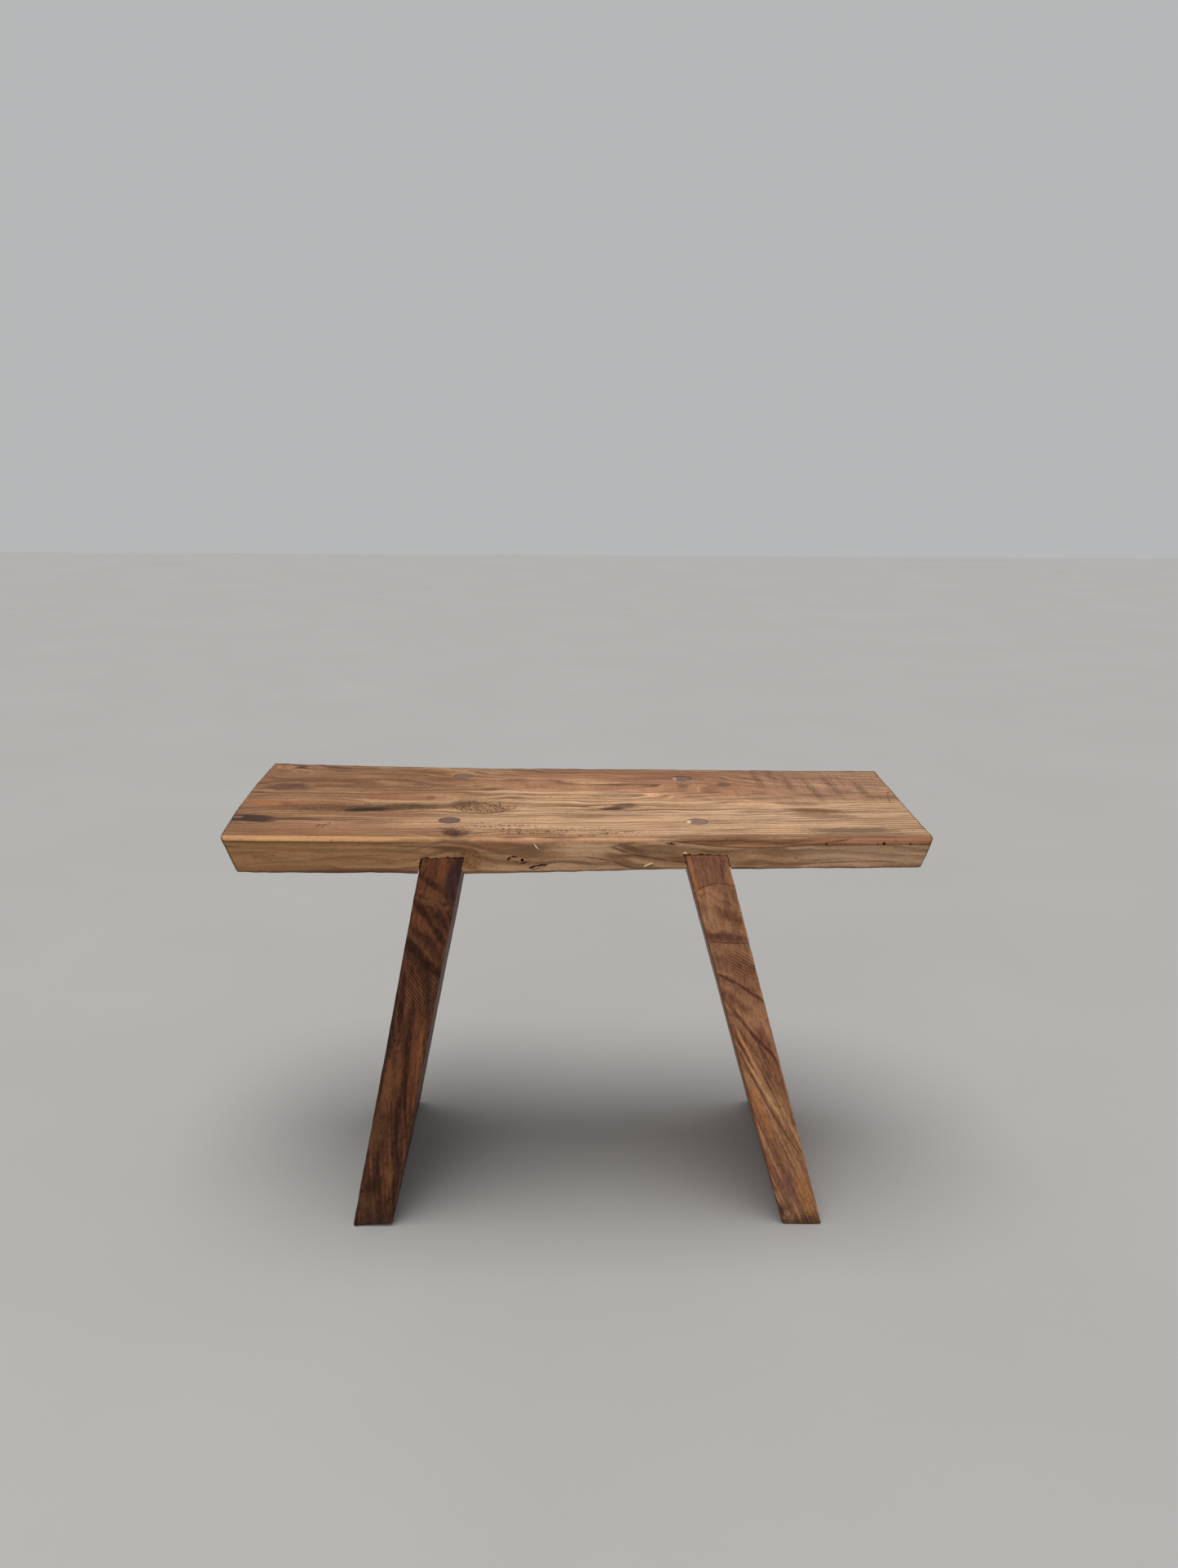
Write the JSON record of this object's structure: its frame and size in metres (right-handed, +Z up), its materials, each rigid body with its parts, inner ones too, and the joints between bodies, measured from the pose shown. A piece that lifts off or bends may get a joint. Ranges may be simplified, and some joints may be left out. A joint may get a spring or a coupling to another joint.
{
  "type": "backless bench",
  "caption": "Low rustic bench: a thick reclaimed plank on splayed board legs let into its underside and held by plugged screws.",
  "frame": {"origin": "on the floor, under the middle of the bench's bounding box", "axes": "+X along the seat, +Y from the front edge to the back, +Z up"},
  "size_m": [0.75, 0.32, 0.4535],
  "materials": {
    "seat_wood": "waxed, lightly weathered",
    "leg_wood": "waxed, dark",
    "plug_wood": "waxed end grain",
    "screw_steel": "zinc plated"
  },
  "bodies": {
    "root": {"seat": "seat_wood", "left_leg": "leg_wood", "right_leg": "leg_wood", "left_front_plug": "plug_wood", "left_back_plug": "plug_wood", "right_front_plug": "plug_wood", "right_back_plug": "plug_wood", "left_front_screw": "screw_steel", "left_back_screw": "screw_steel", "right_front_screw": "screw_steel", "right_back_screw": "screw_steel"}
  },
  "joints": []
}
